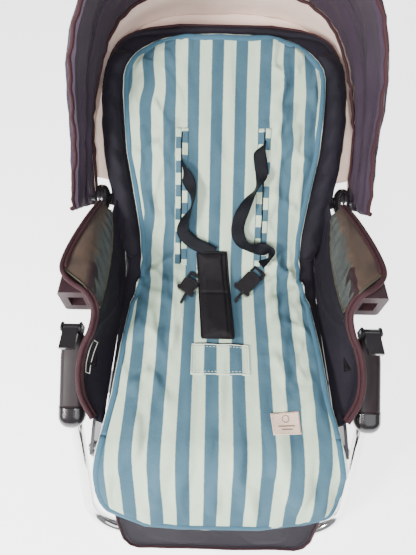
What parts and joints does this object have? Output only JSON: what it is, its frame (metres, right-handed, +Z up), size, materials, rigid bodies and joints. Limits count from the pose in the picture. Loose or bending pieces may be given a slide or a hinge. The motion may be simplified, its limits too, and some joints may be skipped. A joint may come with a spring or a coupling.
{
  "type": "pushchair seat unit",
  "caption": "Reclining padded pushchair seat unit with arched folding hood, striped liner, harness straps, side wings, bumper-bar sockets, hinged leg rest and chrome front hoop.",
  "frame": {"origin": "on the axis of the chassis axle, midway between the two side plates", "axes": "+Z up, the front of the seat faces -Y, +X towards the viewer's right; +X lies along the axle"},
  "size_m": [0.49, 0.8076, 0.7221],
  "materials": {
    "steel": "zinc-plated",
    "frame_paint": "satin powder coat",
    "board": "moulded",
    "navy_fabric": "quilted nylon",
    "hood_fabric": "woven polyester",
    "striped_liner": "striped cotton",
    "webbing": "polyester webbing",
    "crotch_fabric": "padded nylon",
    "mesh": "open mesh",
    "gloss_black": "gloss",
    "matt_black": "fine grain",
    "button_grey": "fine grain",
    "bow_steel": "spring steel strip",
    "chrome": "polished"
  },
  "bodies": {
    "frame": {"cross_tube": "steel", "front_tube": "steel", "seat_rail_left": "frame_paint", "seat_rail_right": "frame_paint", "seat_board": "board", "seat_cushion": "navy_fabric", "side_plate_left": "frame_paint", "side_plate_right": "frame_paint", "side_cover_left": "gloss_black", "side_cover_right": "gloss_black", "armrest_left": "navy_fabric", "armrest_right": "navy_fabric", "socket_housing_left": "matt_black", "socket_housing_right": "matt_black", "chrome_hoop": "chrome", "hoop_catch": "matt_black", "side_wing_left": "navy_fabric", "side_wing_right": "navy_fabric", "side_mesh_left": "mesh", "side_mesh_right": "mesh", "crotch_pad": "crotch_fabric", "buckle_left": "matt_black", "buckle_right": "matt_black", "liner_seat": "striped_liner", "plate_screws": "steel"},
    "backrest": {"back_frame": "frame_paint", "back_board": "board", "back_cushion": "navy_fabric", "bolster_left": "navy_fabric", "bolster_right": "navy_fabric", "hinge_lugs": "matt_black", "liner_back": "striped_liner", "shoulder_strap_left": "webbing", "shoulder_strap_right": "webbing", "hood_bracket_left": "matt_black", "hood_bracket_right": "matt_black", "hood_hub_left": "gloss_black", "hood_hub_right": "gloss_black", "hood_pins": "steel", "canopy_rear": "hood_fabric", "recline_housing": "matt_black"},
    "hood_mid": {"bow_mid": "bow_steel", "canopy_mid": "hood_fabric"},
    "hood_front": {"bow_front": "bow_steel", "canopy_front": "hood_fabric"},
    "leg_rest": {"leg_frame": "frame_paint", "leg_board": "board", "leg_pad": "navy_fabric", "leg_lugs": "matt_black", "liner_leg": "striped_liner"},
    "socket_button_left": {"socket_button_left": "button_grey"},
    "socket_button_right": {"socket_button_right": "button_grey"},
    "release_lever_left": {"release_lever_left": "gloss_black"},
    "release_lever_right": {"release_lever_right": "gloss_black"},
    "recline_bar": {"recline_trigger": "button_grey"}
  },
  "joints": [
    {"name": "recline", "type": "hinge", "parent": "frame", "child": "backrest", "pos_m": [0, 0.17975, 0.02227], "axis": [1, 0, 0], "range_deg": [-25, 25]},
    {"name": "hood_mid_fold", "type": "hinge", "parent": "backrest", "child": "hood_mid", "pos_m": [0, 0.26724, 0.16225], "axis": [1, 0, 0], "range_deg": [-12, 27.5]},
    {"name": "hood_front_fold", "type": "hinge", "parent": "hood_mid", "child": "hood_front", "pos_m": [0, 0.26724, 0.16225], "axis": [1, 0, 0], "range_deg": [-12, 27.5]},
    {"name": "leg_rest_fold", "type": "hinge", "parent": "frame", "child": "leg_rest", "pos_m": [0, -0.112, 0.0223], "axis": [1, 0, 0], "range_deg": [-56, 0]},
    {"name": "bumper_button_left", "type": "slide", "parent": "frame", "child": "socket_button_left", "axis": [1, 0, 0], "range_m": [0, 0.003], "stiffness_N_per_m": 400, "springref_m": -0.002},
    {"name": "bumper_button_right", "type": "slide", "parent": "frame", "child": "socket_button_right", "axis": [-1, 0, 0], "range_m": [0, 0.003], "stiffness_N_per_m": 400, "springref_m": -0.002},
    {"name": "release_left", "type": "hinge", "parent": "frame", "child": "release_lever_left", "pos_m": [-0.225, 0.038, 0.1255], "axis": [1, 0, 0], "range_deg": [0, 14], "stiffness_Nm_per_rad": 0.3, "springref_deg": -11.46},
    {"name": "release_right", "type": "hinge", "parent": "frame", "child": "release_lever_right", "pos_m": [0.225, 0.038, 0.1255], "axis": [1, 0, 0], "range_deg": [0, 14], "stiffness_Nm_per_rad": 0.3, "springref_deg": -11.46},
    {"name": "recline_squeeze", "type": "slide", "parent": "backrest", "child": "recline_bar", "axis": [0, 0.766, 0.6428], "range_m": [0, 0.008], "stiffness_N_per_m": 600, "springref_m": -0.004}
  ],
  "couplings": [
    {"joint": "hood_front_fold", "follows": "hood_mid_fold", "ratio": 1}
  ]
}
